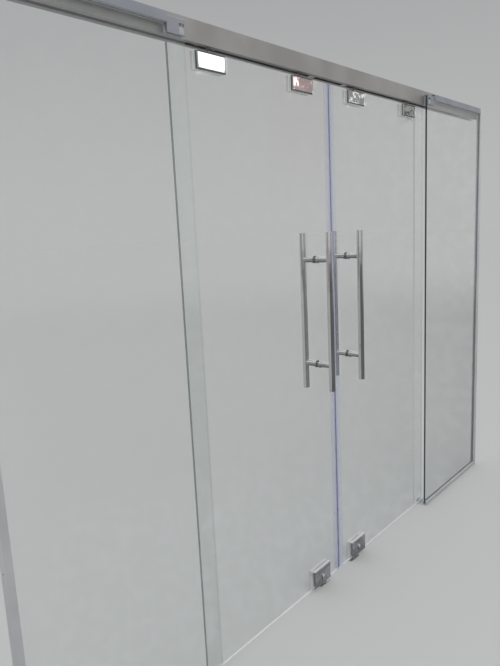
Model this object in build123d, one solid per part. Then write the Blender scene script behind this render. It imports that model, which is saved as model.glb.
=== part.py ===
from build123d import *
import os

# Frameless sliding entrance door. X runs along the glass, -Y is the street side and Z is up.
# The origin is on the floor, at the line where the two leaves meet, in the plane of the leaves.
# Every piece of the right half is drawn at +X, and the left half is its mirror image.

# Glass
glass_thickness = 10.0
glass_arris = 0.8
leaf_width = 780.0
leaf_height = 1945.0
floor_gap = 10.0
meeting_gap = 16.0
panel_offset = 35.0
panel_overlap = 33.0
frame_width = 2840.0

# Head track: a slotted box with two rounded rails inside
track_width = 48.0
track_height = 60.0
track_wall = 3.0
track_floor = 4.0
track_roof = 4.0
track_clearance = 9.0
slot_width = 16.0
rail_radius = 3.0
rail_spacing = 29.0
track_hole_diameter = 6.5
track_hole_count = 6
track_hole_end = 120.0

# Channels round the fixed panes
channel_width = 22.0
channel_wall = 2.5
sill_height = 20.0
jamb_depth = 20.0
head_depth = 25.0
head_channel_drop = 25.0
head_bite = 13.0
jamb_bite = 12.0
setting_block_height = 5.5
setting_block_length = 80.0
channel_hole_diameter = 5.5
jamb_hole_count = 4
jamb_hole_end = 107.0
sill_hole_count = 2
sill_hole_end = 82.5
gasket_height = 8.0

# Corner clips that hold the free top corner of each fixed pane
clip_width = 65.0
clip_height = 42.0
clip_wall = 3.0
clip_front_pad = 1.0
clip_slot_width = 17.0
clip_slot_height = 26.0
clip_slot_inset = 5.0
clip_slot_rise = 4.0
clip_wedge_height = 17.0
clip_bend = 2.4
clip_screw_spacing = 26.0

# Hangers: two clamped half shells on each leaf, with a suspension bolt
hanger_inner_x = 178.0
hanger_outer_x = 628.0
hanger_width = 118.0
hanger_height = 50.0
hanger_drop = 4.5
hanger_thickness = 9.0
cover_bevel = 4.0
cover_bevel_fall = 1.5
clamp_pad = 1.0
clamp_edge = 1.2
boss_width = 60.0
boss_height = 36.0
boss_key = 3.0
boss_clearance = 0.2
notch_clearance = 1.0
notch_radius = 6.0
clamp_screw_diameter = 6.0
clamp_screw_spacing = 40.0
clamp_screw_head = 11.0
clamp_screw_bite = 4.0
bolt_diameter = 10.0
bolt_bite = 24.0
nut_across_flats = 17.0
nut_height = 6.0
bolt_edge = 0.8

# Carriages that run in the track
carriage_length = 100.0
carriage_width = 18.0
carriage_height = 20.0
waist_depth = 3.0
waist_height = 12.0
waist_corner = 2.0
axle_spacing = 68.0
axle_diameter = 6.0
axle_head_diameter = 10.0
axle_head_height = 1.5
axle_head_edge = 0.6
wheel_diameter = 28.0
wheel_width = 9.0
wheel_hub_diameter = 11.0
groove_depth = 2.7
running_gap = 0.3
side_gap = 0.1
bore_clearance = 0.05

# Stops in the track
outer_stop_end = 165.7
stop_length = 30.0
stop_height = 16.0
stop_flange = 22.0
stop_fit = 0.2
stop_edge = 1.5
buffer_length = 6.0
buffer_diameter = 14.0
buffer_edge = 2.0
stop_screw_diameter = 5.0

# Pull handles
handle_length = 600.0
handle_diameter = 25.0
handle_wall = 1.5
handle_edge = 0.8
handle_reach = 60.0
handle_height = 1120.0
handle_x = 108.0
post_spacing = 400.0
post_diameter = 22.0
collar_diameter = 28.0
collar_height = 8.0
collar_edge = 1.5
collar_foot_edge = 0.5
stud_diameter = 8.0
stud_length = 56.0
stud_hole_diameter = 14.0
bush_clearance = 0.1
washer_height = 1.0

# Floor locks
lock_x = 140.0
lock_width = 112.0
lock_height = 72.0
lock_rise = 5.0
lock_thickness = 9.0
lock_boss_width = 66.0
lock_boss_height = 50.0
lock_edge = 1.2
cylinder_rise = 36.0
cylinder_head = 17.0
cylinder_stem = 10.0
cylinder_height = 33.0
cylinder_proud = 3.0
cylinder_depth = 6.0
cylinder_fit = 0.1
plug_diameter = 12.0
plug_proud = 0.8
plug_depth = 20.0
plug_edge = 0.5
keyway_width = 2.2
keyway_height = 8.5
keyway_depth = 12.0
dead_bolt_offset = 24.0
dead_bolt_diameter = 12.0
dead_bolt_travel = 27.0
dead_bolt_guided = 15.0
dead_bolt_tip = 1.5
lock_screw_offsets = ((-11.0, 9.0), (24.0, 40.0))

# Edge seals between the leaves
seal_wall = 1.5
seal_bite = 17.0
seal_bulb_radius = 3.3
seal_bulb_wall = 0.9
seal_gap = 0.2

# Pieces on the floor
guide_length = 36.0
guide_width = 40.0
guide_base = 3.0
guide_height = 24.0
guide_wall = 5.0
guide_slot_clearance = 0.8
guide_edge = 1.2
guide_hole_diameter = 4.5
guide_hole_spacing = 31.0
strike_length = 64.0
strike_width = 24.0
strike_thickness = 2.0
strike_corner = 4.0
strike_hole_clearance = 0.5
strike_screw_hole = 4.5
strike_screw_spacing = 46.0

# Countersunk frame screws
frame_screw_diameter = 4.2
frame_screw_head = 8.0
frame_screw_head_height = 2.0
frame_screw_tip_setback = 0.2
head_screw_count = 3
head_screw_end = 60.0

# Heights and places that follow from the sizes above
half_glass = glass_thickness / 2
glass_edge = meeting_gap / 2
leaf_outer = glass_edge + leaf_width
leaf_top = floor_gap + leaf_height
track_bottom = leaf_top + track_clearance
track_top = track_bottom + track_height
ledge_top = track_bottom + track_floor
frame_half = frame_width / 2

fixed_inner = leaf_outer - panel_overlap
jamb_inner = frame_half - jamb_depth
fixed_outer = jamb_inner + jamb_bite
head_channel_bottom = track_bottom + head_channel_drop
fixed_bottom = channel_wall + setting_block_height
fixed_top = head_channel_bottom + head_bite
channel_front = -panel_offset - channel_width / 2
channel_back = -panel_offset + channel_width / 2
gasket_width = (channel_width - glass_thickness) / 2 - channel_wall
sill_gasket_bottom = sill_height - gasket_height
head_channel_top = head_channel_bottom + head_depth

clip_back = -track_width / 2
clip_front = -panel_offset - half_glass - clip_front_pad - clip_wall
clip_inner = fixed_inner
clip_outer = fixed_inner + clip_width

clamp_inner = half_glass + clamp_pad
hanger_top = leaf_top - hanger_drop
hanger_bottom = hanger_top - hanger_height
boss_bottom = hanger_top - boss_height
notch_bottom = boss_bottom - notch_clearance
clamp_screw_z = boss_bottom + boss_height / 2

wheel_radius = wheel_diameter / 2
groove_radius = rail_radius + running_gap
rolling_radius = wheel_radius - groove_depth
axle_z = ledge_top + groove_radius + rolling_radius
carriage_bottom = axle_z - carriage_height / 2
carriage_top = axle_z + carriage_height / 2
axle_end = rail_spacing / 2 + wheel_width / 2 + side_gap + axle_head_height

post_heights = (handle_height - post_spacing / 2, handle_height + post_spacing / 2)
post_start = half_glass + washer_height

lock_bottom = floor_gap + lock_rise
cylinder_z = lock_bottom + cylinder_rise
lock_face = clamp_inner + lock_thickness
dead_bolt_x = lock_x - dead_bolt_offset
dead_bolt_length = dead_bolt_travel + dead_bolt_guided
lock_screw_places = [(lock_x + dx, lock_bottom + dz) for dx, dz in lock_screw_offsets]
guide_x = (fixed_inner + leaf_outer) / 2


def across(x):
    """Section plane at right angles to the door: its first axis is Y and its second is Z."""
    return Plane((x, 0, 0), x_dir=(0, 1, 0), z_dir=(1, 0, 0))


def rail_run(section, x_from, x_to):
    """A section across the door, drawn in Y and Z, run along X."""
    return extrude(across(x_from) * section, x_to - x_from)


def upright(section, z_from, z_to):
    """A section in plan, drawn in X and Y, run upwards."""
    return extrude(Plane((0, 0, z_from)) * section, z_to - z_from)


def plate(outline, y_from, y_to):
    """An outline in the plane of the door, drawn in X and Z, run from y_from to y_to."""
    return extrude(Plane((0, y_to, 0), x_dir=(1, 0, 0), z_dir=(0, -1, 0)) * outline, y_to - y_from)


def box_outline(low_a, high_a, low_b, high_b):
    """A rectangle from its limits on the two axes of its plane."""
    return Pos((low_a + high_a) / 2, (low_b + high_b) / 2) * Rectangle(high_a - low_a, high_b - low_b)


def rod_y(diameter, x, z, y_from, y_to):
    """A round bar or drill across the door."""
    return plate(Pos(x, z) * Circle(diameter / 2), y_from, y_to)


def rod_z(diameter, x, y, z_from, z_to):
    """An upright round bar or drill."""
    return upright(Pos(x, y) * Circle(diameter / 2), z_from, z_to)


def countersunk_y(x, z, y_head, y_tip, shank, head, head_height):
    """A countersunk screw, or the cut for one, with its flat head at y_head and its tip at y_tip."""
    way = 1 if y_tip > y_head else -1
    profile = Polyline(
        (0, 0),
        (head / 2, 0),
        (shank / 2, head_height),
        (shank / 2, abs(y_tip - y_head)),
        (0, abs(y_tip - y_head)),
        close=True,
    )
    frame = Plane((x, y_head, z), x_dir=(1, 0, 0), z_dir=(0, 0, way))
    return revolve(frame * make_face(profile), Axis((x, y_head, z), (0, 1, 0)))


def soften_shop_face(part, size):
    """Breaks the edges of a plate's shop-side face."""
    return chamfer(part.faces().sort_by(Axis.Y)[-1].outer_wire().edges(), size)


def bevel_cover(part):
    """Polishes a wide, shallow bevel round the street face of a cover."""
    face = part.faces().sort_by(Axis.Y)[0]
    return chamfer(face.outer_wire().edges(), cover_bevel, cover_bevel_fall, reference=face)


def group(pieces):
    """Several separate solids of one kind kept together."""
    return Compound(children=[solid for piece in pieces for solid in piece.solids()])


def spread(first, last, count):
    """Places in an even row, from the first to the last."""
    return [first + (last - first) * i / (count - 1) for i in range(count)]


# Head track

def head_track():
    section = box_outline(-track_width / 2, track_width / 2, track_bottom, track_top)
    section -= box_outline(
        -track_width / 2 + track_wall,
        track_width / 2 - track_wall,
        ledge_top,
        track_top - track_roof,
    )
    section -= box_outline(-slot_width / 2, slot_width / 2, track_bottom, ledge_top)
    for side in (-1, 1):
        section += Pos(side * rail_spacing / 2, ledge_top) * Circle(rail_radius) - box_outline(
            -track_width, track_width, track_bottom - rail_radius, track_bottom + track_floor / 2
        )
    track = rail_run(section, -frame_half, frame_half)
    for x in spread(-frame_half + track_hole_end, frame_half - track_hole_end, track_hole_count):
        track -= rod_z(track_hole_diameter, x, 0, track_top - track_roof, track_top)
    for x, z in frame_screw_places():
        for side in (-1, 1):
            track -= rod_y(frame_screw_diameter, side * x, z, clip_back, clip_back + track_wall)
    return track


def frame_screw_places():
    """Where the head channel and the corner clip of the right half are screwed to the track."""
    head_z = (fixed_top + head_channel_top - channel_wall) / 2
    places = spread(clip_outer + head_screw_end, jamb_inner - head_screw_end, head_screw_count)
    channel_screws = [(x, head_z) for x in places]
    clip_z = track_bottom + clip_height / 2
    clip_x = (clip_inner + clip_outer) / 2
    clip_screws = [(clip_x + side * clip_screw_spacing / 2, clip_z) for side in (-1, 1)]
    return channel_screws + clip_screws


def frame_screws():
    screws = []
    for x, z in frame_screw_places():
        head_face = channel_back - channel_wall if x > clip_outer else clip_back - clip_wall
        for side in (-1, 1):
            screws.append(countersunk_y(
                side * x,
                z,
                head_face,
                clip_back + track_wall - frame_screw_tip_setback,
                frame_screw_diameter,
                frame_screw_head,
                frame_screw_head_height,
            ))
    return group(screws)


def stop_places():
    """Inner and outer stop of the right leaf: the buffer's face, and the way that it faces.

    The leaf travels from one to the other, 540 mm, with the running gap left at both ends.
    """
    inner_face = hanger_inner_x - carriage_length / 2 - running_gap
    outer_face = frame_half - outer_stop_end - stop_length - buffer_length
    return ((inner_face, 1), (outer_face, -1))


def stop_block(face, way):
    """One clamped stop: a T-shaped block that sits over the slot between the rails."""
    slot_half = slot_width / 2 - stop_fit
    section = box_outline(-stop_flange / 2, stop_flange / 2, ledge_top, ledge_top + stop_height)
    section += box_outline(-slot_half, slot_half, track_bottom, ledge_top)
    near = face - way * buffer_length
    far = near - way * stop_length
    block = rail_run(section, min(near, far), max(near, far))
    block = chamfer(block.edges().filter_by(Axis.X).group_by(Axis.Z)[-1], stop_edge)
    middle = (near + far) / 2
    return block - rod_z(stop_screw_diameter, middle, 0, track_bottom, ledge_top + stop_height / 2)


def stop_buffer(face, way):
    """Rubber nose of a stop."""
    near = face - way * buffer_length
    disc = Plane((near, 0, ledge_top + stop_height / 2), x_dir=(0, 1, 0), z_dir=(way, 0, 0))
    nose = extrude(disc * Circle(buffer_diameter / 2), buffer_length)
    return fillet(nose.faces().sort_by(Axis.X)[-1 if way > 0 else 0].edges(), buffer_edge)


def both_sides(piece):
    """The piece and its mirror image in the other half of the door."""
    return [piece, mirror(piece, about=Plane.YZ)]


def track_stops():
    return group([half for face, way in stop_places() for half in both_sides(stop_block(face, way))])


def stop_buffers():
    return group([half for face, way in stop_places() for half in both_sides(stop_buffer(face, way))])


# Channels, packers and gaskets round the fixed pane of the right half

def channel_section(depth):
    """A U channel, open towards +b, that is centred on the fixed pane."""
    section = box_outline(channel_front, channel_back, 0, depth)
    section -= box_outline(channel_front + channel_wall, channel_back - channel_wall, channel_wall, depth)
    return section


def sill_channel():
    channel = rail_run(channel_section(sill_height), fixed_inner, jamb_inner)
    for x in spread(fixed_inner + sill_hole_end, jamb_inner - sill_hole_end, sill_hole_count):
        channel -= rod_z(channel_hole_diameter, x, -panel_offset, 0, channel_wall)
    return channel


def head_channel():
    section = Pos(0, head_channel_top) * mirror(channel_section(head_depth), about=Plane.XZ)
    channel = rail_run(section, clip_outer, jamb_inner)
    for x, z in frame_screw_places():
        if x > clip_outer:
            channel -= countersunk_y(
                x,
                z,
                channel_back - channel_wall,
                channel_back,
                frame_screw_diameter,
                frame_screw_head,
                frame_screw_head_height,
            )
    return channel


def jamb_channel():
    section = box_outline(jamb_inner, frame_half, channel_front, channel_back)
    section -= box_outline(
        jamb_inner, frame_half - channel_wall, channel_front + channel_wall, channel_back - channel_wall
    )
    channel = upright(section, 0, head_channel_top)
    for z in spread(jamb_hole_end, head_channel_top - jamb_hole_end, jamb_hole_count):
        drill = Plane((frame_half - channel_wall, -panel_offset, z), x_dir=(0, 1, 0), z_dir=(1, 0, 0))
        channel -= extrude(drill * Circle(channel_hole_diameter / 2), channel_wall)
    return channel


def fixed_glass():
    outline = box_outline(fixed_inner, fixed_outer, fixed_bottom, fixed_top)
    pane = plate(outline, -panel_offset - half_glass, -panel_offset + half_glass)
    faces = pane.faces().sort_by(Axis.Y)
    return chamfer(faces[0].edges() + faces[-1].edges(), glass_arris)


def gasket_section():
    """A wedge gasket with a rounded bead, its foot at the origin and its bead towards +b."""
    section = box_outline(0, gasket_width, 0, gasket_height)
    return section + Pos(gasket_width / 2, gasket_height) * Circle(gasket_width / 2)


def glazing_gaskets():
    strips = []
    feet = (channel_front + channel_wall, channel_back - channel_wall - gasket_width)
    sill_top = sill_gasket_bottom + gasket_height + gasket_width / 2
    head_foot = head_channel_bottom + gasket_height
    for foot in feet:
        sill = Pos(foot, sill_gasket_bottom) * gasket_section()
        strips.append(rail_run(sill, fixed_inner, jamb_inner))
        head = Pos(foot, head_foot) * mirror(gasket_section(), about=Plane.XZ)
        strips.append(rail_run(head, clip_outer, jamb_inner))
        jamb = Pos(jamb_inner + gasket_height, foot) * Rot(0, 0, 90) * gasket_section()
        strips.append(upright(jamb, sill_top, head_foot - gasket_height - gasket_width / 2))
    return group([half for strip in strips for half in both_sides(strip)])


def glass_packers():
    """Hard packers: setting blocks under the panes, and the pads and wedge of each corner clip."""
    section = box_outline(
        -panel_offset - half_glass, -panel_offset + half_glass, channel_wall, fixed_bottom
    )
    quarter = (fixed_outer - fixed_inner) / 4
    packers = clip_packers()
    for x in (fixed_inner + quarter, fixed_outer - quarter):
        packers.append(rail_run(section, x - setting_block_length / 2, x + setting_block_length / 2))
    return group([half for packer in packers for half in both_sides(packer)])


def corner_clip():
    top = track_bottom + clip_height
    section = box_outline(clip_front, clip_back, track_bottom, top)
    section -= box_outline(clip_front + clip_wall, clip_back - clip_wall, track_bottom, top - clip_wall)
    clip = rail_run(section, clip_inner, clip_outer)
    clip = fillet(clip.edges().filter_by(Axis.X).group_by(Axis.Z)[-1], clip_bend)
    slot_low = track_bottom + clip_slot_rise
    slot = box_outline(
        clip_inner + clip_slot_inset,
        clip_inner + clip_slot_inset + clip_slot_width,
        slot_low,
        slot_low + clip_slot_height,
    )
    clip -= plate(slot, clip_front, clip_front + clip_wall)
    for x, z in frame_screw_places():
        if x < clip_outer:
            clip -= countersunk_y(
                x,
                z,
                clip_back - clip_wall,
                clip_back,
                frame_screw_diameter,
                frame_screw_head,
                frame_screw_head_height,
            )
    return clip


def clip_packers():
    """Front pad, back pad and the wedge that shows in the slot of the right clip."""
    low, high = track_bottom, fixed_top
    slot_low = track_bottom + clip_slot_rise
    wedge_low_x = clip_inner + clip_slot_inset
    wedge = box_outline(wedge_low_x, wedge_low_x + clip_slot_width, slot_low, slot_low + clip_wedge_height)
    window = box_outline(wedge_low_x, wedge_low_x + clip_slot_width, low, high)
    pad = box_outline(clip_inner, clip_outer, low, high)
    glass_front = -panel_offset - half_glass
    glass_back = -panel_offset + half_glass
    return [
        plate(pad - window, glass_front - clip_front_pad, glass_front),
        plate(wedge, clip_front, glass_front),
        plate(pad, glass_back, clip_back - clip_wall),
    ]


# Pieces on the floor

def floor_guide():
    slot_half = half_glass + guide_slot_clearance
    section = box_outline(-guide_width / 2, guide_width / 2, 0, guide_base)
    section += box_outline(-slot_half - guide_wall, slot_half + guide_wall, 0, guide_height)
    section -= box_outline(-slot_half, slot_half, guide_base, guide_height)
    guide = rail_run(section, guide_x - guide_length / 2, guide_x + guide_length / 2)
    tips = guide.edges().filter_by(Axis.X).group_by(Axis.Z)[-1]
    guide = chamfer(tips, guide_edge)
    for side in (-1, 1):
        guide -= rod_z(guide_hole_diameter, guide_x, side * guide_hole_spacing / 2, 0, guide_base)
    return guide


def strike_plate():
    outline = Pos(dead_bolt_x, 0) * RectangleRounded(strike_length, strike_width, strike_corner)
    outline -= Pos(dead_bolt_x, 0) * Circle(dead_bolt_diameter / 2 + strike_hole_clearance)
    for side in (-1, 1):
        outline -= Pos(dead_bolt_x + side * strike_screw_spacing / 2, 0) * Circle(strike_screw_hole / 2)
    return upright(outline, 0, strike_thickness)


# Glass, seal and hangers of the right leaf

def notch_outline(x, z, width, depth):
    """A notch that opens at a glass edge at height z, with rounded inner corners."""
    return Pos(x, z) * RectangleRounded(width, 2 * depth, notch_radius)


def hanger_notch(x):
    return notch_outline(x, leaf_top, boss_width + 2 * notch_clearance, leaf_top - notch_bottom)


def lock_notch():
    width = lock_boss_width + 2 * notch_clearance
    return notch_outline(lock_x, floor_gap, width, lock_rise + lock_boss_height + notch_clearance)


def leaf_glass():
    outline = box_outline(glass_edge, leaf_outer, floor_gap, leaf_top)
    for x in (hanger_inner_x, hanger_outer_x):
        outline -= hanger_notch(x)
    outline -= lock_notch()
    for z in post_heights:
        outline -= Pos(handle_x, z) * Circle(stud_hole_diameter / 2)
    pane = plate(outline, -half_glass, half_glass)
    faces = pane.faces().sort_by(Axis.Y)
    return chamfer(faces[0].edges() + faces[-1].edges(), glass_arris)


def edge_seal():
    outer = half_glass + seal_wall
    section = box_outline(glass_edge - seal_wall, glass_edge + seal_bite, -outer, outer)
    section -= box_outline(glass_edge, glass_edge + seal_bite, -half_glass, half_glass)
    bulb_x = seal_gap + seal_bulb_radius
    section += Pos(bulb_x, 0) * Circle(seal_bulb_radius)
    section -= Pos(bulb_x, 0) * Circle(seal_bulb_radius - seal_bulb_wall)
    return upright(section, floor_gap, leaf_top)


def boss_outline(x, mouth, depth, width, extra=0.0):
    """The boss that fills a notch, square at the mouth and rounded at its far end, grown by a fit."""
    rounded = Pos(x, mouth) * RectangleRounded(
        width + 2 * extra, 2 * abs(depth) + 2 * extra, notch_radius - notch_clearance + extra
    )
    way = 1 if depth > 0 else -1
    reach = box_outline(x - width, x + width, *sorted((mouth, mouth + depth + way * extra)))
    return rounded & reach


def shell_outline(x, low, height, width):
    return box_outline(x - width / 2, x + width / 2, low, low + height)


def hanger_front(x):
    """Street-side half of a hanger: a bevelled polished face, pocketed inside for the other half's boss."""
    key_y = -clamp_inner - boss_key - boss_clearance
    part = plate(
        shell_outline(x, hanger_bottom, hanger_height, hanger_width),
        -clamp_inner - hanger_thickness,
        -clamp_inner,
    )
    part = bevel_cover(part)
    pocket = boss_outline(x, hanger_top, -boss_height, boss_width, boss_clearance)
    part -= plate(pocket, key_y, -clamp_inner)
    for side in (-1, 1):
        screw_x = x + side * clamp_screw_spacing / 2
        part -= rod_y(clamp_screw_diameter, screw_x, clamp_screw_z, key_y - clamp_screw_bite, key_y)
    return part


def hanger_back(x):
    """Shop-side half of a hanger, with the boss that fills the glass notch and takes the bolt."""
    part = plate(
        shell_outline(x, hanger_bottom, hanger_height, hanger_width),
        clamp_inner,
        clamp_inner + hanger_thickness,
    )
    part = soften_shop_face(part, clamp_edge)
    boss = boss_outline(x, hanger_top, -boss_height, boss_width)
    part += plate(boss, -clamp_inner - boss_key, clamp_inner)
    part -= rod_z(bolt_diameter, x, 0, hanger_top - bolt_bite, hanger_top)
    for side in (-1, 1):
        part -= countersunk_y(
            x + side * clamp_screw_spacing / 2,
            clamp_screw_z,
            clamp_inner + hanger_thickness,
            -clamp_inner - boss_key,
            clamp_screw_diameter,
            clamp_screw_head,
            (clamp_screw_head - clamp_screw_diameter) / 2,
        )
    return part


def clamp_screw(x, z, y_head):
    return countersunk_y(
        x,
        z,
        y_head,
        -clamp_inner - boss_key - boss_clearance - clamp_screw_bite,
        clamp_screw_diameter,
        clamp_screw_head,
        (clamp_screw_head - clamp_screw_diameter) / 2,
    )


def clamp_screws():
    """The two screws of each hanger and of the lock, all driven from the shop side."""
    screws = []
    for side in (-1, 1):
        for x in (hanger_inner_x, hanger_outer_x):
            screw_x = x + side * clamp_screw_spacing / 2
            screws.append(clamp_screw(screw_x, clamp_screw_z, clamp_inner + hanger_thickness))
    for x, z in lock_screw_places:
        screws.append(clamp_screw(x, z, lock_face))
    return group(screws)


def suspension_bolt(x):
    """A threaded bolt from the hanger's boss up into the carriage, with its lock nut."""
    bolt = rod_z(bolt_diameter, x, 0, hanger_top - bolt_bite, carriage_top)
    bolt = chamfer(bolt.edges().sort_by(Axis.Z)[-1], bolt_edge)
    nut_section = RegularPolygon(nut_across_flats / 2, 6, major_radius=False, rotation=30)
    nut_section -= Circle(bolt_diameter / 2)
    nut = upright(Pos(x, 0) * nut_section, hanger_top, hanger_top + nut_height)
    return [bolt, nut]


def hanger_bolts():
    return group([piece for x in (hanger_inner_x, hanger_outer_x) for piece in suspension_bolt(x)])


def leaf_gaskets():
    """Rubber between metal and glass: clamp pads, lock pads, handle washers and hole bushes."""
    pads = []
    outlines = [
        shell_outline(x, hanger_bottom, hanger_height, hanger_width) - hanger_notch(x)
        for x in (hanger_inner_x, hanger_outer_x)
    ]
    outlines.append(shell_outline(lock_x, lock_bottom, lock_height, lock_width) - lock_notch())
    for outline in outlines:
        pads.append(plate(outline, -clamp_inner, -half_glass))
        pads.append(plate(outline, half_glass, clamp_inner))
    for z in post_heights:
        washer = Pos(handle_x, z) * (Circle(collar_diameter / 2) - Circle(stud_hole_diameter / 2))
        pads.append(plate(washer, -post_start, -half_glass))
        pads.append(plate(washer, half_glass, post_start))
        bush = Circle(stud_hole_diameter / 2 - bush_clearance) - Circle(stud_diameter / 2 + bush_clearance)
        pads.append(plate(Pos(handle_x, z) * bush, -half_glass, half_glass))
    return group(pads)


# Carriages of the right leaf

def carriage(x):
    """Cast body of a carriage: rounded ends over the axles, waisted flanks, threaded middle."""
    profile = SlotOverall(carriage_length, carriage_height)
    body = plate(Pos(x, axle_z) * profile, -carriage_width / 2, carriage_width / 2)
    waist_start = bolt_diameter
    waist_end = axle_spacing / 2 - axle_head_diameter
    flank = carriage_width / 2
    for side in (-1, 1):
        for half in (-1, 1):
            recess = Pos(x + half * (waist_start + waist_end) / 2, axle_z) * RectangleRounded(
                waist_end - waist_start, waist_height, waist_corner
            )
            body -= plate(recess, *sorted((side * flank, side * (flank - waist_depth))))
    body -= rod_z(bolt_diameter, x, 0, carriage_bottom, carriage_top)
    for side in (-1, 1):
        body -= rod_y(
            axle_diameter, x + side * axle_spacing / 2, axle_z, -carriage_width / 2, carriage_width / 2
        )
    return body


def carriages():
    return group([carriage(hanger_inner_x), carriage(hanger_outer_x)])


def wheel_places():
    """Axle places of the right leaf, from the meeting line outwards."""
    return [x + side * axle_spacing / 2 for x in (hanger_inner_x, hanger_outer_x) for side in (-1, 1)]


def axle(x):
    """A riveted axle that carries one wheel on each side of the carriage."""
    shaft = rod_y(axle_diameter, x, axle_z, -axle_end, axle_end)
    for side in (-1, 1):
        inner = side * (axle_end - axle_head_height)
        head = rod_y(axle_head_diameter, x, axle_z, *sorted((inner, side * axle_end)))
        shaft += chamfer(head.edges().sort_by(Axis.Y)[-1 if side > 0 else 0], axle_head_edge)
    return shaft


def axles():
    return group([axle(x) for x in wheel_places()])


def wheel(x, side):
    """A grooved wheel with a hub that spaces it off the carriage."""
    middle = rail_spacing / 2
    hub_start = carriage_width / 2 + side_gap
    bore = axle_diameter / 2 + bore_clearance
    section = box_outline(bore, wheel_radius, middle - wheel_width / 2, middle + wheel_width / 2)
    section += box_outline(bore, wheel_hub_diameter / 2, hub_start, middle)
    section -= Pos(rolling_radius + groove_radius, middle) * Circle(groove_radius)
    frame = Plane((x, 0, axle_z), x_dir=(1, 0, 0), z_dir=(0, 0, 1))
    turned = revolve(frame * section, Axis((x, 0, axle_z), (0, 1, 0)))
    return turned if side > 0 else mirror(turned, about=Plane.XZ)


def wheel_pair(x):
    return group([wheel(x, -1), wheel(x, 1)])


# Handle of the right leaf

def handle_bar(side):
    """A polished tube with welded and ground end caps."""
    y = side * handle_reach
    low = handle_height - handle_length / 2
    high = handle_height + handle_length / 2
    tube = rod_z(handle_diameter, handle_x, y, low, high)
    ends = tube.edges().filter_by(GeomType.CIRCLE)
    tube = chamfer(ends, handle_edge)
    hollow = rod_z(handle_diameter - 2 * handle_wall, handle_x, y, low + handle_wall, high - handle_wall)
    return tube - hollow


def handle_post(z, side):
    """A turned post with a collar against the glass, coped to fit the round bar."""
    collar_end = post_start + collar_height
    profile = Polyline(
        (0, post_start),
        (collar_diameter / 2 - collar_foot_edge, post_start),
        (collar_diameter / 2, post_start + collar_foot_edge),
        (collar_diameter / 2, collar_end - collar_edge),
        (collar_diameter / 2 - collar_edge, collar_end),
        (post_diameter / 2, collar_end),
        (post_diameter / 2, handle_reach),
        (0, handle_reach),
        close=True,
    )
    frame = Plane((handle_x, 0, z), x_dir=(1, 0, 0), z_dir=(0, 0, 1))
    post = revolve(frame * make_face(profile), Axis((handle_x, 0, z), (0, 1, 0)))
    post -= rod_z(
        handle_diameter, handle_x, handle_reach, z - collar_diameter, z + collar_diameter
    )
    post -= rod_y(stud_diameter, handle_x, z, 0, stud_length / 2)
    return post if side > 0 else mirror(post, about=Plane.XZ)


def handle_posts():
    """Posts on both sides of the glass, with the studs that draw each pair together."""
    posts = [handle_post(z, side) for z in post_heights for side in (-1, 1)]
    studs = [rod_y(stud_diameter, handle_x, z, -stud_length / 2, stud_length / 2) for z in post_heights]
    return group(posts + studs)


# Floor lock of the right leaf

def cylinder_outline(extra):
    """Keyhole outline of a profile cylinder, grown by a fit on every side."""
    stem_low = cylinder_z + cylinder_head / 2 - cylinder_height
    stem_radius = cylinder_stem / 2
    outline = Pos(lock_x, cylinder_z) * Circle(cylinder_head / 2 + extra)
    outline += box_outline(
        lock_x - stem_radius - extra, lock_x + stem_radius + extra, stem_low + stem_radius, cylinder_z
    )
    outline += Pos(lock_x, stem_low + stem_radius) * Circle(stem_radius + extra)
    return outline


def lock_front():
    """Street-side cover of the floor lock, bevelled and cut out for the cylinder."""
    key_y = -clamp_inner - boss_key - boss_clearance
    part = plate(
        shell_outline(lock_x, lock_bottom, lock_height, lock_width), -lock_face, -clamp_inner
    )
    part = bevel_cover(part)
    pocket = boss_outline(lock_x, lock_bottom, lock_boss_height, lock_boss_width, boss_clearance)
    part -= plate(pocket, key_y, -clamp_inner)
    part -= plate(cylinder_outline(cylinder_fit), -lock_face, key_y)
    for x, z in lock_screw_places:
        part -= rod_y(clamp_screw_diameter, x, z, key_y - clamp_screw_bite, key_y)
    return part


def lock_case():
    """Shop-side half of the lock, with the case that fills the glass notch and guides the bolt."""
    part = plate(shell_outline(lock_x, lock_bottom, lock_height, lock_width), clamp_inner, lock_face)
    part = soften_shop_face(part, lock_edge)
    boss = boss_outline(lock_x, lock_bottom, lock_boss_height, lock_boss_width)
    part += plate(boss, -clamp_inner - boss_key, clamp_inner)
    part -= plate(cylinder_outline(cylinder_fit), -clamp_inner - boss_key, cylinder_depth)
    bolt_bore = dead_bolt_diameter + 2 * bore_clearance
    part -= rod_z(bolt_bore, dead_bolt_x, 0, lock_bottom, lock_bottom + dead_bolt_length + dead_bolt_tip)
    for x, z in lock_screw_places:
        part -= countersunk_y(
            x,
            z,
            lock_face,
            -clamp_inner - boss_key,
            clamp_screw_diameter,
            clamp_screw_head,
            (clamp_screw_head - clamp_screw_diameter) / 2,
        )
    return part


def lock_cylinder():
    front = -lock_face - cylinder_proud
    body = plate(cylinder_outline(0), front, cylinder_depth)
    return body - rod_y(
        plug_diameter + 2 * bore_clearance, lock_x, cylinder_z, front, front + plug_depth + side_gap
    )


def lock_plug():
    """The turning plug with its keyway, upright while the bolt is drawn back."""
    front = -lock_face - cylinder_proud
    plug = rod_y(plug_diameter, lock_x, cylinder_z, front - plug_proud, front + plug_depth)
    plug = chamfer(plug.faces().sort_by(Axis.Y)[0].edges(), plug_edge)
    keyway = Pos(lock_x, cylinder_z - keyway_width / 2) * Rectangle(keyway_width, keyway_height)
    return plug - plate(keyway, front - plug_proud, front + keyway_depth)


def lock_bolt():
    bolt = rod_z(dead_bolt_diameter, dead_bolt_x, 0, lock_bottom, lock_bottom + dead_bolt_length)
    return chamfer(bolt.edges().sort_by(Axis.Z)[0], dead_bolt_tip)


# All pieces

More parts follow.
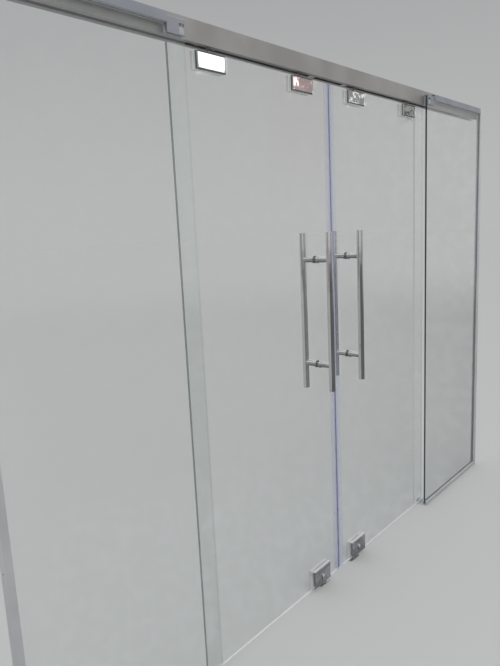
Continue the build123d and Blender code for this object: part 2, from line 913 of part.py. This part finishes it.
right_frame_pieces = {
    "fixed_glass": fixed_glass,
    "sill_channel": sill_channel,
    "head_channel": head_channel,
    "jamb_channel": jamb_channel,
    "corner_clip": corner_clip,
}
shared_frame_pieces = {
    "head_track": head_track,
    "frame_screws": frame_screws,
    "track_stops": track_stops,
    "stop_buffers": stop_buffers,
    "glazing_gaskets": glazing_gaskets,
    "glass_packers": glass_packers,
    "floor_guides": lambda: group(both_sides(floor_guide())),
    "strike_plates": lambda: group(both_sides(strike_plate())),
}
right_leaf_pieces = {
    "leaf_glass": leaf_glass,
    "edge_seal": edge_seal,
    "hanger_fronts": lambda: group([hanger_front(hanger_inner_x), hanger_front(hanger_outer_x)]),
    "hanger_backs": lambda: group([hanger_back(hanger_inner_x), hanger_back(hanger_outer_x)]),
    "hanger_bolts": hanger_bolts,
    "clamp_screws": clamp_screws,
    "leaf_gaskets": leaf_gaskets,
    "carriages": carriages,
    "axles": axles,
    "outer_handle_bar": lambda: handle_bar(-1),
    "inner_handle_bar": lambda: handle_bar(1),
    "handle_posts": handle_posts,
    "lock_front": lock_front,
    "lock_case": lock_case,
    "lock_cylinder": lock_cylinder,
    "lock_plug": lock_plug,
    "lock_bolt": lock_bolt,
}
for number, place in enumerate(wheel_places(), 1):
    right_leaf_pieces[f"wheels_{number}"] = lambda place=place: wheel_pair(place)

nodes = {name: build() for name, build in shared_frame_pieces.items()}
for name, build in {**right_frame_pieces, **right_leaf_pieces}.items():
    right = build()
    nodes[f"right_{name}"] = right
    nodes[f"left_{name}"] = mirror(right, about=Plane.YZ)

os.makedirs("parts", exist_ok=True)
for name, part in nodes.items():
    export_step(part, f"parts/{name}.step")
print(len(nodes), "nodes")
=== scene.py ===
import math

import bpy
from mathutils import Matrix, Vector


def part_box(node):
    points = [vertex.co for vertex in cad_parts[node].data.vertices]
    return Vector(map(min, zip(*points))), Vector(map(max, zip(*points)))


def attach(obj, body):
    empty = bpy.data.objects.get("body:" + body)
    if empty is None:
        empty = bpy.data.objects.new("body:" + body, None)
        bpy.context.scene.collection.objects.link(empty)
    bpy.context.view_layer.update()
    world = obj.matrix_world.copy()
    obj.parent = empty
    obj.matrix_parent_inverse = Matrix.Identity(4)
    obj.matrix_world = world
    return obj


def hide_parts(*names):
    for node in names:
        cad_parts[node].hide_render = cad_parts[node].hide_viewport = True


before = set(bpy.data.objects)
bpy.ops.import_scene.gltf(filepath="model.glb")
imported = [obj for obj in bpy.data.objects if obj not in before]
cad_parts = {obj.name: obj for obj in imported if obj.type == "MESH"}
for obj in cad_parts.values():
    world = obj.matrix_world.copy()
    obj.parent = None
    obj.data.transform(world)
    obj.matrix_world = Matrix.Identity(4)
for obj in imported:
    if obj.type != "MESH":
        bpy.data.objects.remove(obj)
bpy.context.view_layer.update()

# Sliding leaves and fixed panes: 10 mm clear float glass with ground edges, dusty and wiped. Upright
# edges look dark green from outside, where light has run through the whole sheet, and nearly clear
# from inside. Level edges are pale from the grinding and paler still as a painted highlight, and the
# edges under the seals are violet with a faint painted glow, as if light ran out of them.

white = (1.0, 1.0, 1.0)
black = (0.0, 0.0, 0.0)
glass_index = 1.5
glass_tint = (0.974, 0.986, 0.982, 1.0)
dust_colour = (0.74, 0.76, 0.76, 1.0)
dust_everywhere = 0.035
dust_in_patches = 0.04
green_edge_dark = (0.014, 0.048, 0.040)
green_edge_light = (0.055, 0.098, 0.088)
# Level edges: pale frosted grinding, lightened further as a painted highlight.
level_edge_frost_and_highlight = (0.88, 0.92, 0.92)
level_edge_clear = 0.4
sealed_edge_colour = (0.46, 0.47, 0.60)
# Painted glow: emission on the edges under the seals, in place of light piped through the glass.
sealed_edge_painted_glow = (0.19, 0.195, 0.26)
sealed_edge_reach = 0.012
inside_edge_clear = 0.92
mostly = 0.5


class Value:
    """One number or colour on a surface. Arithmetic on it adds the nodes that work it out."""

    def __init__(self, finish, socket):
        self.finish = finish
        self.socket = socket

    def maths(self, operation, *values):
        return self.finish.node("ShaderNodeMath", {"operation": operation}, dict(enumerate(values)))

    def __add__(self, other):
        return self.maths("ADD", self, other)

    def __radd__(self, other):
        return self.maths("ADD", other, self)

    def __sub__(self, other):
        return self.maths("SUBTRACT", self, other)

    def __rsub__(self, other):
        return self.maths("SUBTRACT", other, self)

    def __mul__(self, other):
        return self.maths("MULTIPLY", self, other)

    def __rmul__(self, other):
        return self.maths("MULTIPLY", other, self)

    def __truediv__(self, other):
        return self.maths("DIVIDE", self, other)

    def __rtruediv__(self, other):
        return self.maths("DIVIDE", other, self)

    def __gt__(self, other):
        return self.maths("GREATER_THAN", self, other)

    def __lt__(self, other):
        return self.maths("LESS_THAN", self, other)

    def __abs__(self):
        return self.maths("ABSOLUTE", self)

    def toward(self, other, amount):
        """Moves this value to another as the amount goes from nothing to one."""
        return self * (1.0 - amount) + amount * other

    def ramp(self, low, high, at_low=0.0, at_high=1.0):
        """Runs smoothly from at_low to at_high while this value runs from low to high."""
        return self.finish.node(
            "ShaderNodeMapRange",
            {"interpolation_type": "SMOOTHSTEP", "clamp": True},
            {"Value": self, "From Min": low, "From Max": high, "To Min": at_low, "To Max": at_high},
            "Result",
        )

    def between(self, low, high, soft):
        """One inside a stretch of this value and nothing outside it, with soft ends."""
        return self.ramp(low - soft, low + soft) * (1.0 - self.ramp(high - soft, high + soft))


class Finish:
    """The node tree of one finish, started empty, with one method that adds a node."""

    def __init__(self, owner):
        owner.use_nodes = True
        self.owner = owner
        self.tree = owner.node_tree
        self.tree.nodes.clear()

    def node(self, kind, settings=None, inputs=None, output=0):
        made = self.tree.nodes.new(kind)
        for name, setting in (settings or {}).items():
            setattr(made, name, setting)
        for name, value in (inputs or {}).items():
            if isinstance(value, Value):
                self.tree.links.new(value.socket, made.inputs[name])
            else:
                made.inputs[name].default_value = value
        if made.outputs:
            return Value(self, made.outputs[output])

    def parts(self, vector):
        """The three numbers of a vector."""
        split = self.node("ShaderNodeSeparateXYZ", inputs={"Vector": vector})
        return [Value(self, socket) for socket in split.socket.node.outputs]

    def place(self, stretch=(1.0, 1.0, 1.0)):
        """Where a point of the surface is, in metres, with each axis stretched for a texture."""
        point = self.node("ShaderNodeTexCoord", output="Object")
        return self.node("ShaderNodeVectorMath", {"operation": "MULTIPLY"}, {0: point, 1: stretch})

    def noise(self, scale, stretch=(1.0, 1.0, 1.0), detail=2.0, roughness=0.5):
        return self.node(
            "ShaderNodeTexNoise",
            inputs={
                "Vector": self.place(stretch),
                "Scale": scale,
                "Detail": detail,
                "Roughness": roughness,
            },
            output="Fac",
        )

    def blend(self, amount, low, high):
        """A colour between two colours."""
        low, high = (c if isinstance(c, Value) else (*c, 1.0) for c in (low, high))
        return self.node("ShaderNodeMix", {"data_type": "RGBA"}, {"Factor": amount, 6: low, 7: high}, 2)

    def mix(self, amount, shader, other):
        return self.node("ShaderNodeMixShader", inputs={"Fac": amount, 1: shader, 2: other})

    def bump(self, height, strength, distance):
        return self.node(
            "ShaderNodeBump", inputs={"Height": height, "Strength": strength, "Distance": distance}
        )

    def show(self, shader):
        self.node("ShaderNodeOutputMaterial", inputs={"Surface": shader})
        return self.owner


def new_finish(name):
    return Finish(bpy.data.materials.new(name))


def both_halves(name):
    return (f"left_{name}", f"right_{name}")


def give(material, *nodes):
    for node in nodes:
        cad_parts[node].data.materials.clear()
        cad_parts[node].data.materials.append(material)


def clear_glass(name, outside_edge_clear):
    """Float glass, with the share of light that its upright edges let through from outside."""
    glass = new_finish(name)
    inside = glass.node("ShaderNodeNewGeometry", output="Backfacing")
    normal = glass.node("ShaderNodeNewGeometry", output="True Normal")
    _, across, upward = glass.parts(normal)
    edge = abs(across) < mostly
    level = abs(upward) > mostly
    off_meeting_line = abs(glass.parts(glass.place())[0])
    sealed = (off_meeting_line < sealed_edge_reach) * (1.0 - level)

    mirrored = glass.node("ShaderNodeFresnel", inputs={"IOR": glass_index})
    both_faces = mirrored * 2.0 / (mirrored + 1.0)
    haze = glass.noise(3.2, (1.0, 1.0, 0.45), detail=4.0, roughness=0.6).ramp(0.42, 0.75)
    wiped = glass.noise(26.0, (1.0, 1.0, 0.12), detail=3.0).ramp(0.45, 0.8)
    dust = (haze * 0.7 + haze * wiped * 0.6) * dust_in_patches + dust_everywhere
    through = glass.node("ShaderNodeBsdfTransparent", inputs={"Color": glass_tint})
    sheen = glass.node("ShaderNodeBsdfGlossy", inputs={"Color": (*white, 1.0), "Roughness": 0.012})
    film = glass.node("ShaderNodeBsdfDiffuse", inputs={"Color": dust_colour})
    face = glass.mix(both_faces * (1.0 - inside), through, sheen)
    face = glass.mix(dust * (1.0 - inside), face, film)

    streaks = glass.noise(70.0, (1.0, 1.0, 0.05), detail=3.0).ramp(0.3, 0.75)
    upright = glass.blend(streaks, green_edge_dark, green_edge_light)
    upright = glass.blend(sealed, upright, sealed_edge_colour)
    cut = glass.node(
        "ShaderNodeBsdfPrincipled",
        inputs={
            # Level edges take the pale colour: frost plus painted highlight.
            "Base Color": glass.blend(level, upright, level_edge_frost_and_highlight),
            "Roughness": 0.16,
            "IOR": glass_index,
            # Painted glow on the sealed edges, given as emission.
            "Emission Color": glass.blend(sealed, black, sealed_edge_painted_glow),
            "Emission Strength": 1.0,
        },
    )
    clear = outside_edge_clear + inside * (inside_edge_clear - outside_edge_clear)
    clear = clear.toward(level_edge_clear, level)
    return glass.show(glass.mix(edge, face, glass.mix(clear, cut, through)))


give(clear_glass("fixed_float_glass", outside_edge_clear=0.0), *both_halves("fixed_glass"))
give(clear_glass("sliding_float_glass", outside_edge_clear=0.3), *both_halves("leaf_glass"))

# Edge seals: clear flexible PVC strips with a hollow bulb, pushed on the meeting edges of the leaves.
# The extruded plastic has a violet cast and catches the light along its ribs.

seal_tint = (0.982, 0.986, 0.996, 1.0)
seal_violet_dark = (0.44, 0.45, 0.68)
seal_violet_light = (0.55, 0.56, 0.82)
seal_body = 0.06
seal_body_at_slant = 0.14


def clear_seal():
    seal = new_finish("clear_violet_seal")
    ribs = seal.noise(900.0, (1.0, 1.0, 0.004), detail=1.0).ramp(0.35, 0.7)
    slant = seal.node("ShaderNodeLayerWeight", inputs={"Blend": 0.35}, output="Facing")
    through = seal.node("ShaderNodeBsdfTransparent", inputs={"Color": seal_tint})
    plastic = seal.node(
        "ShaderNodeBsdfPrincipled",
        inputs={
            "Base Color": seal.blend(ribs, seal_violet_dark, seal_violet_light),
            "Roughness": 0.18,
            "Coat Weight": 0.3,
        },
    )
    return seal.show(seal.mix(seal_body + slant * seal_body_at_slant, through, plastic))


give(clear_seal(), *both_halves("edge_seal"))

# Hangers, pull bars, posts, and the locks' covers, cylinders, bolts and strike plates: stainless steel
# polished to a mirror, slightly wavy from the wheel and faintly smeared by hands. The shop-side plates
# of hangers and locks are only ground satin.


def polished_steel():
    steel = new_finish("mirror_polished_steel")
    waves = steel.noise(34.0, detail=1.0)
    scratches = steel.noise(420.0, (1.0, 1.0, 0.08), detail=3.0).ramp(0.45, 0.8)
    smears = steel.noise(16.0, detail=3.0).ramp(0.5, 0.75)
    return steel.show(
        steel.node(
            "ShaderNodeBsdfPrincipled",
            inputs={
                "Base Color": steel.blend(smears, (0.68, 0.675, 0.67), (0.60, 0.60, 0.60)),
                "Metallic": 1.0,
                "Roughness": 0.02 + smears * 0.035 + scratches * 0.02,
                "Normal": steel.bump(waves, strength=0.25, distance=0.0006),
            },
        )
    )


def satin_steel():
    satin = new_finish("satin_ground_steel")
    grain = satin.noise(900.0, (0.02, 1.0, 1.0), detail=3.0).ramp(0.3, 0.7)
    return satin.show(
        satin.node(
            "ShaderNodeBsdfPrincipled",
            inputs={
                "Base Color": satin.blend(grain, (0.62, 0.62, 0.615), (0.70, 0.70, 0.695)),
                "Metallic": 0.4,
                "Roughness": 0.38 + grain * 0.12,
            },
        )
    )


mirror_steel = polished_steel()
for piece in (
    "hanger_fronts",
    "outer_handle_bar",
    "inner_handle_bar",
    "handle_posts",
    "lock_front",
    "lock_cylinder",
    "lock_bolt",
):
    give(mirror_steel, *both_halves(piece))
give(mirror_steel, "strike_plates")
give(satin_steel(), *both_halves("hanger_backs"), *both_halves("lock_case"))

# Lock plugs: turned brass with a bright nickel plate, dull where keys have scraped the face and
# yellow where they have worn it through.


def nickelled_brass():
    plug = new_finish("nickelled_brass")
    scraped = plug.noise(420.0, detail=3.0).ramp(0.4, 0.7)
    worn = plug.noise(260.0, detail=2.0).ramp(0.64, 0.76)
    nickel = plug.blend(scraped, (0.88, 0.88, 0.87), (0.72, 0.72, 0.71))
    return plug.show(
        plug.node(
            "ShaderNodeBsdfPrincipled",
            inputs={
                "Base Color": plug.blend(worn, nickel, (0.66, 0.55, 0.33)),
                "Metallic": 0.35,
                "Roughness": 0.30 + scraped * 0.2,
            },
        )
    )


give(nickelled_brass(), *both_halves("lock_plug"))

# Sill and jamb channels and floor guides: extruded aluminium with a pale satin anodising. The head
# channels and corner clips are darker grey, which is painted shade from the soffit over them, and the
# track is slightly warm. Fine die lines run along each extrusion.

pale_anodising = {"dark": (0.68, 0.685, 0.70), "light": (0.76, 0.765, 0.78), "metallic": 0.6}
# Darker grey for head channels and corner clips: painted shade of the soffit over them.
shaded_anodising = {"dark": (0.29, 0.31, 0.35), "light": (0.35, 0.37, 0.41), "metallic": 0.5}
warm_anodising = {"dark": (0.40, 0.39, 0.38), "light": (0.48, 0.47, 0.455), "metallic": 0.8}
die_line_squeeze = 0.01


def anodised_aluminium(name, extruded_along, dark, light, metallic):
    metal = new_finish(name)
    stretch = [die_line_squeeze if axis == extruded_along else 1.0 for axis in "xyz"]
    lines = metal.noise(1500.0, stretch).ramp(0.3, 0.7)
    cloud = metal.noise(5.0).ramp(0.35, 0.7)
    return metal.show(
        metal.node(
            "ShaderNodeBsdfPrincipled",
            inputs={
                "Base Color": metal.blend(cloud, dark, light),
                "Metallic": metallic,
                "Roughness": 0.40 + lines * 0.14,
                "Normal": metal.bump(lines, strength=0.2, distance=0.00005),
            },
        )
    )


track_metal = anodised_aluminium("track_aluminium", "x", **warm_anodising)
shaded_metal = anodised_aluminium("shaded_aluminium_lying", "x", **shaded_anodising)
lying_metal = anodised_aluminium("pale_aluminium_lying", "x", **pale_anodising)
standing_metal = anodised_aluminium("pale_aluminium_standing", "z", **pale_anodising)
give(track_metal, "head_track")
# Head channels and corner clips get the painted-shade grey.
give(shaded_metal, *both_halves("head_channel"), *both_halves("corner_clip"))
give(lying_metal, "floor_guides", *both_halves("sill_channel"))
give(standing_metal, *both_halves("jamb_channel"))

# Screws, stops, carriages and axles: steel with a bright zinc plate, mottled and slightly blue.
# The screws hold head channels and corner clips up to the track.


def zinc_plate():
    plate = new_finish("bright_zinc_plate")
    mottle = plate.noise(240.0, detail=3.0).ramp(0.35, 0.7)
    return plate.show(
        plate.node(
            "ShaderNodeBsdfPrincipled",
            inputs={
                "Base Color": plate.blend(mottle, (0.44, 0.45, 0.48), (0.62, 0.62, 0.63)),
                "Metallic": 1.0,
                "Roughness": 0.28 + mottle * 0.2,
            },
        )
    )


zinc = zinc_plate()
give(zinc, "frame_screws", "track_stops", *both_halves("carriages"), *both_halves("axles"))

# Suspension bolts: M10 studding with a bright zinc plate, screwed down into each hanger and up into
# its carriage, and locked on the hanger by a nut with chamfered corners.

thread_pitch = 0.0015
thread_depth = 0.0008
thread_corners = 32
rings_per_pitch = 8
bolt_radius = 0.005
bolt_crease = 40.0
nut_flat_radius = 0.0085
nut_land_radius = 0.0081
nut_height = 0.006
nut_chamfer = math.radians(30.0)
nut_corners = 48
hexagon_side_turn = math.pi / 3.0


def turned(name, rings, material, closed_ends=True):
    """A closed skin through rings of points. Without closed ends, the last ring joins the first."""
    count = len(rings[0])
    faces = []
    for row in range(len(rings) - 1):
        for i in range(count):
            j = (i + 1) % count
            faces.append((row * count + i, row * count + j, (row + 1) * count + j, (row + 1) * count + i))
    last = (len(rings) - 1) * count
    if closed_ends:
        faces.append(tuple(reversed(range(count))))
        faces.append(tuple(range(last, last + count)))
    else:
        for i in range(count):
            j = (i + 1) % count
            faces.append((last + i, last + j, j, i))
    mesh = bpy.data.meshes.new(name)
    mesh.from_pydata([point for ring in rings for point in ring], [], faces)
    mesh.materials.append(material)
    mesh.update()
    piece = bpy.data.objects.new(name, mesh)
    bpy.context.scene.collection.objects.link(piece)
    return piece


def even_angles(count):
    return [2.0 * math.pi * i / count for i in range(count)]


def hexagon_radius(flat_radius, angle):
    """How far a hexagon reaches at an angle from the middle of one of its sides."""
    return flat_radius / math.cos(math.remainder(angle, hexagon_side_turn))


def joined(name, pieces):
    """Several pieces of one kind as one."""
    with bpy.context.temp_override(
        active_object=pieces[0], selected_editable_objects=pieces, object=pieces[0]
    ):
        bpy.ops.object.join()
    pieces[0].name = name
    pieces[0].data.name = name
    return pieces[0]


def smooth(piece, crease):
    """Smooth shading, with edges kept sharp where the skin turns by more than so many degrees."""
    piece.data.shade_smooth()
    piece.data.set_sharp_from_angle(angle=math.radians(crease))


def studding(x, low, high):
    """A threaded rod along Z. Its skin follows the thread's ramp as it turns."""
    rings = []
    rows = round((high - low) / thread_pitch * rings_per_pitch)
    for row in range(rows + 1):
        z = low + (high - low) * row / rows
        ring = []
        for i, angle in enumerate(even_angles(thread_corners)):
            along = ((z - low) / thread_pitch - i / thread_corners) % 1.0
            radius = bolt_radius - thread_depth * abs(2.0 * along - 1.0)
            ring.append((x + radius * math.cos(angle), radius * math.sin(angle), z))
        rings.append(ring)
    return turned("studding", rings, zinc)


def lock_nut(x, low):
    """A hexagon nut: bore, flat land, and corners cut back by a chamfer at both faces."""
    angles = even_angles(nut_corners)
    high = low + nut_height

    def ring(z, radius):
        return [(x + radius * math.cos(angle), radius * math.sin(angle), z) for angle in angles]

    def flank(face, inward):
        points = []
        for angle in angles:
            radius = hexagon_radius(nut_flat_radius, angle)
            drop = (radius - nut_land_radius) * math.tan(nut_chamfer)
            points.append((x + radius * math.cos(angle), radius * math.sin(angle), face + inward * drop))
        return points

    rings = [
        ring(low, bolt_radius),
        ring(low, nut_land_radius),
        flank(low, 1.0),
        flank(high, -1.0),
        ring(high, nut_land_radius),
        ring(high, bolt_radius),
    ]
    return turned("lock_nut", rings, zinc, closed_ends=False)


for half in ("left", "right"):
    low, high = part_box(f"{half}_hanger_bolts")
    hanger_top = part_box(f"{half}_hanger_backs")[1].z
    pieces = []
    for x in (low.x + nut_flat_radius, high.x - nut_flat_radius):
        pieces.append(studding(x, low.z, high.z))
        pieces.append(lock_nut(x, hanger_top))
    bolts = joined(f"{half}_threaded_bolts", pieces)
    smooth(bolts, bolt_crease)
    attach(bolts, f"{half}_leaf")
    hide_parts(f"{half}_hanger_bolts")

# Clamp screws: M6 countersunk screws with a hexagon socket, driven flush into the shop-side half of
# each hanger and lock. The heads are bright from the plating and dark down in the socket.

screw_radius = 0.003
head_radius = 0.0055
head_rim = 0.00025
socket_flat_radius = 0.002
socket_depth = 0.0024
screw_corners = 24
screw_crease = 35.0
hanger_width = 0.118
hanger_screw_spacing = 0.040
hanger_screw_drop = 0.018
lock_screw_places = ((-0.011, 0.009), (0.024, 0.040))


def clamp_screw(x, z, head, tip):
    """A screw along Y: tip, shank, cone, flat head, and a hexagon socket sunk in the head."""
    angles = even_angles(screw_corners)
    cone = head_radius - screw_radius

    def ring(y, radius):
        return [(x + radius * math.cos(angle), y, z + radius * math.sin(angle)) for angle in angles]

    def socket(y):
        points = []
        for angle in angles:
            radius = hexagon_radius(socket_flat_radius, angle)
            points.append((x + radius * math.cos(angle), y, z + radius * math.sin(angle)))
        return points

    rings = [
        ring(tip, screw_radius - head_rim),
        ring(tip + head_rim, screw_radius),
        ring(head - cone, screw_radius),
        ring(head - head_rim, head_radius - head_rim),
        ring(head, head_radius - 2.0 * head_rim),
        socket(head),
        socket(head - socket_depth),
    ]
    return turned("clamp_screw", rings, zinc)


for outward, half in ((-1.0, "left"), (1.0, "right")):
    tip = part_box(f"{half}_clamp_screws")[0].y
    low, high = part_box(f"{half}_hanger_backs")
    pieces = []
    for middle in (low.x + hanger_width / 2.0, high.x - hanger_width / 2.0):
        for side in (-0.5, 0.5):
            x = middle + side * hanger_screw_spacing
            pieces.append(clamp_screw(x, high.z - hanger_screw_drop, high.y, tip))
    low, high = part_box(f"{half}_lock_case")
    for out, above in lock_screw_places:
        x = (low.x + high.x) / 2.0 + outward * out
        pieces.append(clamp_screw(x, low.z + above, high.y, tip))
    screws = joined(f"{half}_socket_screws", pieces)
    smooth(screws, screw_crease)
    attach(screws, f"{half}_leaf")
    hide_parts(f"{half}_clamp_screws")

# Wheels: moulded nylon, off-white and faintly mottled, with a groove that runs on the track's rail.
# Each pair turns together on its axle, four pairs to a leaf.

wheel_pairs = (1, 2, 3, 4)


def moulded(name, dark, light, roughness, grain_scale):
    plastic = new_finish(name)
    grain = plastic.noise(grain_scale, detail=3.0).ramp(0.3, 0.7)
    return plastic.show(
        plastic.node(
            "ShaderNodeBsdfPrincipled",
            inputs={
                "Base Color": plastic.blend(grain, dark, light),
                "Roughness": roughness + grain * 0.12,
                "Normal": plastic.bump(grain, strength=0.15, distance=0.0001),
            },
        )
    )


nylon = moulded("moulded_nylon", (0.66, 0.64, 0.57), (0.78, 0.76, 0.69), roughness=0.38, grain_scale=500.0)
for pair in wheel_pairs:
    give(nylon, *both_halves(f"wheels_{pair}"))

# Packers and setting blocks: hard grey plastic. Glazing gaskets: grey soft plastic, pressed flush
# between glass and channels. Buffers: black rubber.

hard_grey = moulded("grey_packer", (0.36, 0.36, 0.38), (0.44, 0.44, 0.46), roughness=0.45, grain_scale=350.0)
soft_grey = moulded(
    "grey_soft_plastic", (0.40, 0.41, 0.43), (0.48, 0.49, 0.51), roughness=0.50, grain_scale=700.0
)
rubber = moulded(
    "black_rubber", (0.018, 0.018, 0.019), (0.035, 0.035, 0.036), roughness=0.62, grain_scale=700.0
)
give(hard_grey, "glass_packers")
give(soft_grey, "glazing_gaskets")
give(rubber, "stop_buffers")

# Clamp pads: pale translucent plastic between the leaves and their hangers and locks, with a faint
# painted glow that stands in for light running in the glass. The small rings under the handle collars are
# dark.

# Painted glow on the pale pads, given as emission.
pad_painted_glow = (0.14, 0.14, 0.14)
handle_reach = (0.5, 1.6)
handle_reach_soft = 0.05


def clamp_pad():
    pad = new_finish("pale_clamp_pad")
    grain = pad.noise(700.0, detail=3.0).ramp(0.3, 0.7)
    height = pad.parts(pad.place())[2]
    handle_ring = height.between(*handle_reach, handle_reach_soft)
    pale = pad.blend(grain, (0.52, 0.53, 0.55), (0.62, 0.63, 0.65))
    dark = pad.blend(grain, (0.10, 0.10, 0.105), (0.15, 0.15, 0.155))
    return pad.show(
        pad.node(
            "ShaderNodeBsdfPrincipled",
            inputs={
                "Base Color": pad.blend(handle_ring, pale, dark),
                "Roughness": 0.50 + grain * 0.12,
                # Emission is a painted glow on the pale pads, with none on the dark rings.
                "Emission Color": pad.blend(handle_ring, pad_painted_glow, black),
                "Emission Strength": 1.0,
            },
        )
    )


give(clamp_pad(), *both_halves("leaf_gaskets"))

# Studio floor and backdrop: a plain pale floor that runs into a plain backdrop, under soft even light
# from all round. Mirrored rays don't see the floor.

floor_size = 120.0
floor_grey = (0.56, 0.565, 0.565, 1.0)
backdrop_low = (0.478, 0.482, 0.482)
backdrop_high = (0.38, 0.385, 0.39)
backdrop_fade = (0.0, 26.0)
even_strength = 0.85

bpy.ops.mesh.primitive_plane_add(size=floor_size, location=(0, 0, 0))
floor = bpy.context.object
floor.name = "studio_floor"
floor.visible_glossy = False
floor_paint = new_finish("pale_floor")
floor.data.materials.append(
    floor_paint.show(
        floor_paint.node(
            "ShaderNodeBsdfPrincipled",
            inputs={"Base Color": floor_grey, "Roughness": 0.8, "Specular IOR Level": 0.0},
        )
    )
)

studio = bpy.data.worlds.new("studio")
bpy.context.scene.world = studio
air = Finish(studio)
toward = air.node("ShaderNodeTexCoord", output="Generated")
east, north, up = air.parts(toward)
to_degrees = 180.0 / math.pi
around = air.node("ShaderNodeMath", {"operation": "ARCTAN2"}, {0: north, 1: east}) * to_degrees
rise = air.node("ShaderNodeMath", {"operation": "ARCSINE"}, {0: up}) * to_degrees
even_light = air.node("ShaderNodeBackground", inputs={"Color": (*white, 1.0), "Strength": even_strength})
backdrop = air.node(
    "ShaderNodeBackground",
    inputs={"Color": air.blend(rise.ramp(*backdrop_fade), backdrop_low, backdrop_high)},
)

# What the polished steel and the glass mirror, all of it in degrees round the door and up from level:
# bright behind the door, dim and dappled in front of it, and a small patch for the cover of each
# hanger. Only mirrored rays see it.

front_of_door = (-164.0, -66.0)
beside_door = (-66.0, -16.0)
side_soft = 5.0
above_behind = 0.30
bright_behind = 2.0
above_beside = 0.36
high_beside = 0.4
first_hanger_white = 1.6
second_hanger_spots = 0.4
second_hanger_white = 1.8
third_hanger_specks = 1.4
third_hanger_dark = 0.14
fourth_hanger_dark = 0.20
fourth_hanger_specks = 0.78
rose = (1.0, 0.80, 0.79)
cool = (0.93, 0.98, 1.04)


def dapples(scale, low, high):
    dots = air.node(
        "ShaderNodeTexNoise", inputs={"Vector": toward, "Scale": scale, "Detail": 2.0}, output="Fac"
    )
    return dots.ramp(low, high)


def patch(turns, heights, turn_soft, height_soft=None):
    """One inside a stretch of directions and a stretch of heights, and nothing outside it."""
    return around.between(*turns, turn_soft) * rise.between(*heights, height_soft or turn_soft)


shades_behind = (
    (patch((128.0, 158.0), (4.0, 24.0), 4.0, 3.0), 0.95),
    (patch((33.0, 48.0), (-17.0, -11.0), 1.5), 0.6),
    (patch((140.0, 185.0), (-5.5, 0.5), 1.0), 0.7),
)
behind = rise.ramp(-31.0, -19.0, at_low=0.16, at_high=0.52) + rise.ramp(-3.0, 5.0) * above_behind
for shade, depth in shades_behind:
    behind = behind * (1.0 - shade * depth)
behind = behind + patch((-8.0, 24.0), (6.0, 17.0), 3.0, 1.5) * bright_behind

front = rise.ramp(-34.0, -22.0, at_low=0.26, at_high=0.16) * (0.6 + dapples(38.0, 0.42, 0.66) * 0.8)
front = front.toward(around.ramp(-118.0, -104.0, at_low=0.66, at_high=0.40), rise.ramp(-5.0, -1.6))
beside = rise.ramp(-28.0, -21.0, at_low=0.26, at_high=0.13) * (0.7 + dapples(60.0, 0.42, 0.66) * 0.6)
beside = beside + rise.ramp(-9.0, -4.0) * above_beside + rise.ramp(17.0, 30.0) * high_beside
mirror = behind.toward(front, around.between(*front_of_door, side_soft))
mirror = mirror.toward(beside, around.between(*beside_door, side_soft))

spots = dapples(85.0, 0.55, 0.60)
specks = dapples(170.0, 0.54, 0.60)
first_hanger = patch((-45.1, -42.3), (13.5, 15.6), 0.2)
second_hanger = patch((-37.2, -33.8), (11.2, 13.2), 0.3)
second_hanger_end = patch((-36.7, -36.0), (12.0, 12.8), 0.15)
third_hanger = patch((-31.8, -29.9), (10.1, 11.5), 0.15)
fourth_hanger = patch((-27.2, -25.0), (8.4, 10.2), 0.3)
mirror = mirror + first_hanger * first_hanger_white
mirror = mirror + second_hanger * spots * second_hanger_spots
mirror = mirror + second_hanger_end * second_hanger_white
mirror = mirror + third_hanger * (specks * third_hanger_specks - third_hanger_dark)
mirror = mirror * (1.0 - fourth_hanger * (fourth_hanger_dark + specks * fourth_hanger_specks))

round_second_hanger = patch((-38.5, -33.0), (4.0, 20.0), 1.0, 3.0)
tint = air.blend(rise.ramp(-24.0, -12.0), cool, white)
mirror_light = air.node(
    "ShaderNodeBackground", inputs={"Color": air.blend(round_second_hanger, tint, rose), "Strength": mirror}
)
glossy_ray = air.node("ShaderNodeLightPath", output="Is Glossy Ray")
camera_ray = air.node("ShaderNodeLightPath", output="Is Camera Ray")
unseen = air.mix(glossy_ray, even_light, mirror_light)
air.node("ShaderNodeOutputWorld", inputs={"Surface": air.mix(camera_ray, unseen, backdrop)})

# Key light: one large soft lamp, high in front of the door on its left, that brightens the side of
# each fitting that faces it. Neither the camera nor the mirrored rays see it.

key_size = 4.0
key_power = 60.0
key_place = Vector((-2.6, -4.2, 4.6))
key_aim = Vector((0.0, 0.0, 1.0))
key = bpy.data.lights.new("soft_key", "AREA")
key.size = key_size
key.energy = key_power
key_light = bpy.data.objects.new("soft_key", key)
key_light.location = key_place
key_light.rotation_euler = (key_aim - key_place).to_track_quat("-Z", "Y").to_euler()
key_light.visible_camera = False
key_light.visible_glossy = False
bpy.context.scene.collection.objects.link(key_light)

# Camera: where the photo was taken from, solved from the door's own lines. It looks slightly down
# and leans a little to one side.

focal_pixels = 597.633
picture_height = 666
sensor_width = 36.0
view_reach = 200.0
camera_place = (-1.9632, -1.2869, 1.4524)
camera_turn = math.radians(48.667)
camera_pitch = math.radians(-10.09)
camera_roll = math.radians(2.7175)
upright_camera = math.radians(90.0)
lens = bpy.data.cameras.new("photo_camera")
lens.sensor_width = sensor_width
lens.lens = sensor_width * focal_pixels / picture_height
lens.clip_end = view_reach
camera = bpy.data.objects.new("photo_camera", lens)
camera.matrix_world = (
    Matrix.Translation(camera_place)
    @ Matrix.Rotation(-camera_turn, 4, "Z")
    @ Matrix.Rotation(upright_camera + camera_pitch, 4, "X")
    @ Matrix.Rotation(-camera_roll, 4, "Z")
)
bpy.context.scene.collection.objects.link(camera)
bpy.context.scene.camera = camera
bpy.context.scene.view_settings.view_transform = "Standard"
